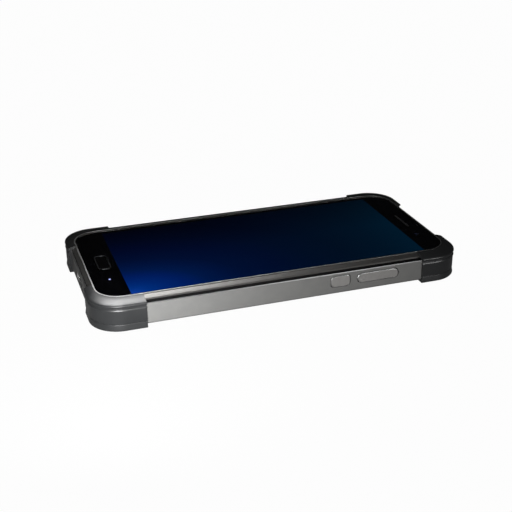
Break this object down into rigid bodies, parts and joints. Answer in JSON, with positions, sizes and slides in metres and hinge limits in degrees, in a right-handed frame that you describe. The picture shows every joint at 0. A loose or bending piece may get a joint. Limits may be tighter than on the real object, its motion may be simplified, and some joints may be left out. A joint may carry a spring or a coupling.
{
  "type": "data collector",
  "caption": "Rugged pocket data collector in smartphone form: glass front, metal tub, soft corner bumpers, side keys, home key, port and card tray.",
  "frame": {"origin": "under the middle of the body, where the four bumper feet meet the table", "axes": "+X along the body to the earpiece end, +Y away from the side keys, +Z out of the screen"},
  "size_m": [0.1524, 0.0776, 0.0116],
  "materials": {
    "bumper_rubber": "satin, moulded soft plastic, dark grey",
    "case_metal": "fine blasted, grey anodised",
    "bezel_metal": "satin anodised, grey",
    "seal_rubber": "matt black",
    "chassis_metal": "rolled sheet",
    "cover_glass": "polished, black printed border",
    "display": "lit panel, blue to dark teal gradient",
    "trim_metal": "satin",
    "key_black": "glossy black",
    "key_metal": "satin anodised, grey",
    "board": "green solder mask",
    "shield_steel": "tinned sheet",
    "chip_black": "moulded black",
    "battery_wrap": "laminated pouch, dark wrap",
    "tape": "white adhesive strip",
    "flex_film": "amber polyimide film",
    "patch_ceramic": "fired ceramic",
    "light_guide": "clear, lit",
    "lens": "polished",
    "mesh": "fine woven mesh",
    "microphone_can": "plated can",
    "tray_metal": "satin anodised, grey",
    "card_plastic": "moulded card",
    "motor_steel": "turned",
    "weight_metal": "sintered heavy alloy",
    "screw_steel": "blackened"
  },
  "bodies": {
    "case": {"bumper_bottom_right": "bumper_rubber", "bumper_top_right": "bumper_rubber", "bumper_bottom_left": "bumper_rubber", "bumper_top_left": "bumper_rubber", "rear_housing": "case_metal", "front_bezel": "bezel_metal", "bezel_gasket": "seal_rubber", "mid_frame": "chassis_metal", "key_bracket": "chassis_metal", "cover_glass": "cover_glass", "display_panel": "display", "home_ring": "trim_metal", "rear_camera_trim": "trim_metal", "main_board": "board", "sub_board": "board", "processor_shield": "shield_steel", "radio_shield": "shield_steel", "card_socket": "shield_steel", "usb_port": "shield_steel", "processor": "chip_black", "radio_chip": "chip_black", "display_connector": "chip_black", "link_connectors": "chip_black", "home_switch": "chip_black", "power_switch": "chip_black", "volume_switches": "chip_black", "port_tongue": "chip_black", "front_camera": "chip_black", "rear_camera": "chip_black", "earpiece_receiver": "chip_black", "loudspeaker": "chip_black", "battery": "battery_wrap", "battery_tapes": "tape", "key_flex": "flex_film", "battery_lead": "flex_film", "link_flex": "flex_film", "display_flex": "flex_film", "gnss_antenna": "patch_ceramic", "key_light": "light_guide", "rear_camera_window": "lens", "flash_lens": "lens", "earpiece_mesh": "mesh", "speaker_mesh": "mesh", "microphone": "microphone_can", "vibration_motor": "motor_steel", "volume_pivot": "motor_steel", "case_screws": "screw_steel", "board_screws": "screw_steel"},
    "power_key": {"power_key": "key_metal"},
    "volume_key": {"volume_key": "key_metal"},
    "home_key": {"home_key": "key_black"},
    "card_tray": {"sim_tray": "tray_metal", "memory_card": "card_plastic", "sim_card": "card_plastic"},
    "motor_rotor": {"motor_shaft": "motor_steel", "motor_weight": "weight_metal"}
  },
  "joints": [
    {"name": "power_press", "type": "slide", "parent": "case", "child": "power_key", "axis": [0, 1, 0], "range_m": [0, 0.00035], "stiffness_N_per_m": 5000},
    {"name": "volume_rock", "type": "hinge", "parent": "case", "child": "volume_key", "pos_m": [0.03785, -0.03445, 0.00645], "axis": [0, 0, 1], "range_deg": [-1.5, 1.5], "stiffness_Nm_per_rad": 0.45},
    {"name": "home_press", "type": "slide", "parent": "case", "child": "home_key", "axis": [0, 0, -1], "range_m": [0, 0.0003], "stiffness_N_per_m": 5000},
    {"name": "tray_slide", "type": "slide", "parent": "case", "child": "card_tray", "axis": [0, 1, 0], "range_m": [0, 0.0275]},
    {"name": "motor_spin", "type": "hinge", "parent": "case", "child": "motor_rotor", "pos_m": [-0.06215, -0.027, 0.004], "axis": [0, 1, 0], "continuous": true}
  ]
}
